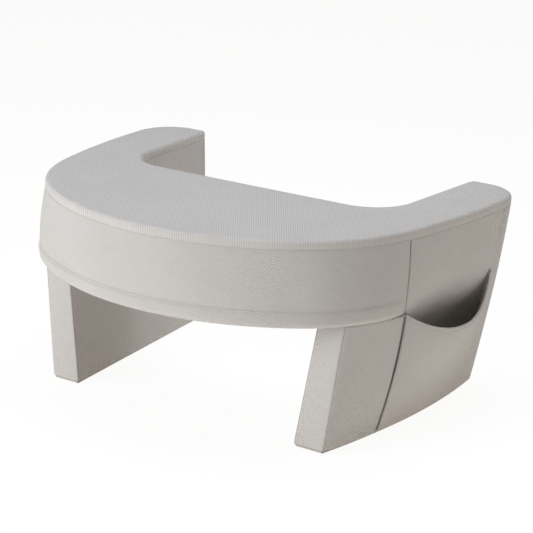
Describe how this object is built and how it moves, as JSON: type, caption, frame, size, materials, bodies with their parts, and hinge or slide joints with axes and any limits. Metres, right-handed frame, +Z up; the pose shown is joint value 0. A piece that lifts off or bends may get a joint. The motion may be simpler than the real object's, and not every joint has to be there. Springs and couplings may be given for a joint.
{
  "type": "crescent lap desk",
  "caption": "Upholstered crescent lap desk: a flat cushioned top with a deep curved front, two leaning padded legs and a sewn drink pocket on its right side.",
  "frame": {"origin": "on the floor, under the middle of the desk's overall box", "axes": "+X across the desk to the pocket side, +Y from the convex front to the user, +Z up"},
  "size_m": [0.686, 0.51, 0.319],
  "materials": {
    "top_fabric": "fine ribbed weave",
    "side_fabric": "fine twill weave",
    "lining": "plain woven lining",
    "sole": "coarse hard-wearing weave",
    "foam": null,
    "board": "thin plywood",
    "zip_tape": "woven tape",
    "zip_teeth": "moulded",
    "zip_metal": "plated"
  },
  "bodies": {
    "desk": {"top_panel": "top_fabric", "top_pad": "foam", "stiffener_board": "board", "slab_core": "foam", "front_apron": "side_fabric", "apron_border": "side_fabric", "bay_panel": "side_fabric", "underside_lining": "lining", "right_pocket": "side_fabric", "zip_tapes": "zip_tape", "zip_teeth": "zip_teeth", "zip_stops": "zip_metal", "right_leg_core": "foam", "right_foot_pad": "sole", "right_leg_front_panel": "side_fabric", "right_leg_outer_panel": "side_fabric", "right_side_panel": "side_fabric", "right_leg_inner_panel": "side_fabric", "left_leg_core": "foam", "left_foot_pad": "sole", "left_leg_front_panel": "side_fabric", "left_leg_outer_panel": "side_fabric", "left_side_panel": "side_fabric", "left_leg_inner_panel": "side_fabric"},
    "slider": {"zip_slider": "zip_metal"},
    "pull": {"zip_pull": "zip_metal"}
  },
  "joints": [
    {"name": "zip_slide", "type": "slide", "parent": "desk", "child": "slider", "axis": [1, 0, 0], "range_m": [-0.38, 0]},
    {"name": "pull_swing", "type": "hinge", "parent": "slider", "child": "pull", "pos_m": [0.19, -0.08, 0.1923], "axis": [0, 1, 0], "range_deg": [-80, 80]}
  ]
}
